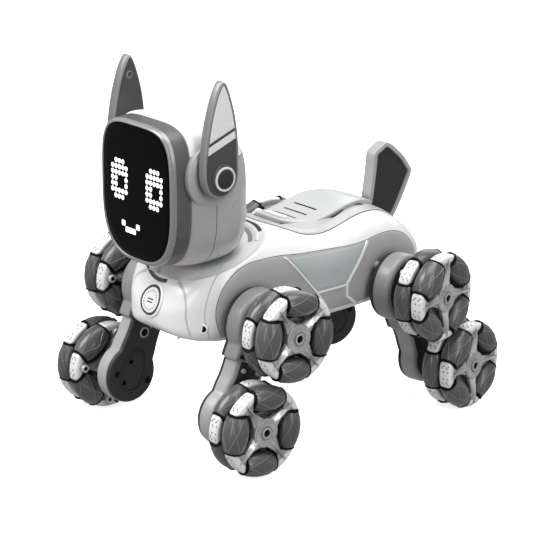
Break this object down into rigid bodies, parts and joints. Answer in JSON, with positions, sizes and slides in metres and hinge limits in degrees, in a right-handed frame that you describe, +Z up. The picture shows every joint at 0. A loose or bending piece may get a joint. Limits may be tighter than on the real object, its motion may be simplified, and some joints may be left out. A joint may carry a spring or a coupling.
{
  "type": "robot dog toy",
  "caption": "Small robot dog toy: rounded body, turning head with an LED face, hinged ears, swinging legs with two omni wheels each.",
  "frame": {"origin": "on the floor under the middle of the toy's overall box", "axes": "+Z up, the face looks towards -Y, +X is the toy's own left side"},
  "size_m": [0.2022, 0.2519, 0.2495],
  "materials": {
    "white_gloss": "gloss moulded",
    "side_panel_grey": "satin moulded",
    "cover_grey": "satin moulded",
    "dark_plastic": "fine texture",
    "bezel_grey": "silvered grey, satin",
    "screen_gloss": "polished",
    "board_green": "printed board",
    "battery_blue": "shrink sleeve",
    "pod_grey": "satin moulded",
    "steel": "turned",
    "wheel_white": "moulded",
    "roller_rubber": "moulded lattice"
  },
  "bodies": {
    "body": {"body_shell": "white_gloss", "belly_pan": "dark_plastic", "left_side_panel": "side_panel_grey", "right_side_panel": "side_panel_grey", "back_cover": "cover_grey", "chest_badge": "bezel_grey", "battery_cover": "dark_plastic", "battery_pack": "battery_blue", "circuit_board": "board_green", "speaker": "dark_plastic", "front_leg_gearbox": "pod_grey", "rear_leg_gearbox": "pod_grey", "neck_bearing": "pod_grey", "tail_pin": "steel", "front_left_hip_axle": "steel", "front_right_hip_axle": "steel", "rear_left_hip_axle": "steel", "rear_right_hip_axle": "steel"},
    "head": {"face_bezel": "bezel_grey", "face_screen": "screen_gloss", "led_board": "board_green", "head_front_shell": "white_gloss", "head_rear_shell": "white_gloss", "neck_post": "dark_plastic"},
    "left_ear": {"left_ear": "bezel_grey", "left_ear_button": "dark_plastic"},
    "right_ear": {"right_ear": "bezel_grey", "right_ear_button": "dark_plastic"},
    "tail": {"tail": "pod_grey"},
    "back_button": {"back_button": "white_gloss"},
    "power_switch": {"power_switch": "dark_plastic"},
    "front_left_leg": {"front_left_leg_shell": "pod_grey", "front_left_leg_cover": "dark_plastic", "front_left_lower_axle": "steel"},
    "front_left_upper_wheel": {"front_left_upper_wheel_hub": "wheel_white", "front_left_upper_wheel_rollers": "roller_rubber"},
    "front_left_lower_wheel": {"front_left_lower_wheel_hub": "wheel_white", "front_left_lower_wheel_rollers": "roller_rubber"},
    "front_right_leg": {"front_right_leg_shell": "pod_grey", "front_right_leg_cover": "dark_plastic", "front_right_lower_axle": "steel"},
    "front_right_upper_wheel": {"front_right_upper_wheel_hub": "wheel_white", "front_right_upper_wheel_rollers": "roller_rubber"},
    "front_right_lower_wheel": {"front_right_lower_wheel_hub": "wheel_white", "front_right_lower_wheel_rollers": "roller_rubber"},
    "rear_left_leg": {"rear_left_leg_shell": "pod_grey", "rear_left_leg_cover": "dark_plastic", "rear_left_lower_axle": "steel"},
    "rear_left_upper_wheel": {"rear_left_upper_wheel_hub": "wheel_white", "rear_left_upper_wheel_rollers": "roller_rubber"},
    "rear_left_lower_wheel": {"rear_left_lower_wheel_hub": "wheel_white", "rear_left_lower_wheel_rollers": "roller_rubber"},
    "rear_right_leg": {"rear_right_leg_shell": "pod_grey", "rear_right_leg_cover": "dark_plastic", "rear_right_lower_axle": "steel"},
    "rear_right_upper_wheel": {"rear_right_upper_wheel_hub": "wheel_white", "rear_right_upper_wheel_rollers": "roller_rubber"},
    "rear_right_lower_wheel": {"rear_right_lower_wheel_hub": "wheel_white", "rear_right_lower_wheel_rollers": "roller_rubber"}
  },
  "joints": [
    {"name": "neck_turn", "type": "hinge", "parent": "body", "child": "head", "pos_m": [0, -0.06505, 0.12544], "axis": [0, -0.309, 0.9511], "range_deg": [-30, 30]},
    {"name": "left_ear_turn", "type": "hinge", "parent": "head", "child": "left_ear", "pos_m": [0.0438, -0.08905, 0.1875], "axis": [1, 0, 0], "range_deg": [-15, 15]},
    {"name": "right_ear_turn", "type": "hinge", "parent": "head", "child": "right_ear", "pos_m": [-0.0438, -0.08905, 0.1875], "axis": [1, 0, 0], "range_deg": [-15, 15]},
    {"name": "tail_wag", "type": "hinge", "parent": "body", "child": "tail", "pos_m": [0, 0.09045, 0.117], "axis": [1, 0, 0], "range_deg": [-12, 12]},
    {"name": "back_button_press", "type": "slide", "parent": "body", "child": "back_button", "axis": [0, 0, -1], "range_m": [0, 0.0008], "stiffness_N_per_m": 300},
    {"name": "power_switch_slide", "type": "slide", "parent": "body", "child": "power_switch", "axis": [0, 1, 0], "range_m": [-0.0015, 0.0015]},
    {"name": "front_left_hip_swing", "type": "hinge", "parent": "body", "child": "front_left_leg", "pos_m": [0.0828, -0.06435, 0.0875], "axis": [1, 0, 0], "range_deg": [-50, 24]},
    {"name": "front_right_hip_swing", "type": "hinge", "parent": "body", "child": "front_right_leg", "pos_m": [-0.0828, -0.06435, 0.0875], "axis": [1, 0, 0], "range_deg": [-50, 24]},
    {"name": "rear_left_hip_swing", "type": "hinge", "parent": "body", "child": "rear_left_leg", "pos_m": [0.0824, 0.06445, 0.0854], "axis": [0.9833, 0.1822, 0], "range_deg": [-28.5, 45]},
    {"name": "rear_right_hip_swing", "type": "hinge", "parent": "body", "child": "rear_right_leg", "pos_m": [-0.0824, 0.06445, 0.0854], "axis": [0.9833, -0.1822, 0], "range_deg": [-28.5, 45]},
    {"name": "front_left_upper_wheel_spin", "type": "hinge", "parent": "front_left_leg", "child": "front_left_upper_wheel", "pos_m": [0.0828, -0.06435, 0.0875], "axis": [1, 0, 0], "continuous": true},
    {"name": "front_left_lower_wheel_spin", "type": "hinge", "parent": "front_left_leg", "child": "front_left_lower_wheel", "pos_m": [0.0828, -0.08997, 0.02995], "axis": [1, 0, 0], "continuous": true},
    {"name": "front_right_upper_wheel_spin", "type": "hinge", "parent": "front_right_leg", "child": "front_right_upper_wheel", "pos_m": [-0.0828, -0.06435, 0.0875], "axis": [1, 0, 0], "continuous": true},
    {"name": "front_right_lower_wheel_spin", "type": "hinge", "parent": "front_right_leg", "child": "front_right_lower_wheel", "pos_m": [-0.0828, -0.08997, 0.02995], "axis": [1, 0, 0], "continuous": true},
    {"name": "rear_left_upper_wheel_spin", "type": "hinge", "parent": "rear_left_leg", "child": "rear_left_upper_wheel", "pos_m": [0.0824, 0.06445, 0.0854], "axis": [0.9833, 0.1822, 0], "continuous": true},
    {"name": "rear_left_lower_wheel_spin", "type": "hinge", "parent": "rear_left_leg", "child": "rear_left_lower_wheel", "pos_m": [0.07692, 0.09401, 0.03003], "axis": [0.9833, 0.1822, 0], "continuous": true},
    {"name": "rear_right_upper_wheel_spin", "type": "hinge", "parent": "rear_right_leg", "child": "rear_right_upper_wheel", "pos_m": [-0.0824, 0.06445, 0.0854], "axis": [0.9833, -0.1822, 0], "continuous": true},
    {"name": "rear_right_lower_wheel_spin", "type": "hinge", "parent": "rear_right_leg", "child": "rear_right_lower_wheel", "pos_m": [-0.07692, 0.09401, 0.03003], "axis": [0.9833, -0.1822, 0], "continuous": true}
  ],
  "couplings": [
    {"joint": "front_right_hip_swing", "follows": "front_left_hip_swing", "ratio": 1},
    {"joint": "rear_right_hip_swing", "follows": "rear_left_hip_swing", "ratio": 1},
    {"joint": "front_left_lower_wheel_spin", "follows": "front_left_upper_wheel_spin", "ratio": 1},
    {"joint": "front_right_lower_wheel_spin", "follows": "front_right_upper_wheel_spin", "ratio": 1},
    {"joint": "rear_left_lower_wheel_spin", "follows": "rear_left_upper_wheel_spin", "ratio": 1},
    {"joint": "rear_right_lower_wheel_spin", "follows": "rear_right_upper_wheel_spin", "ratio": 1}
  ]
}
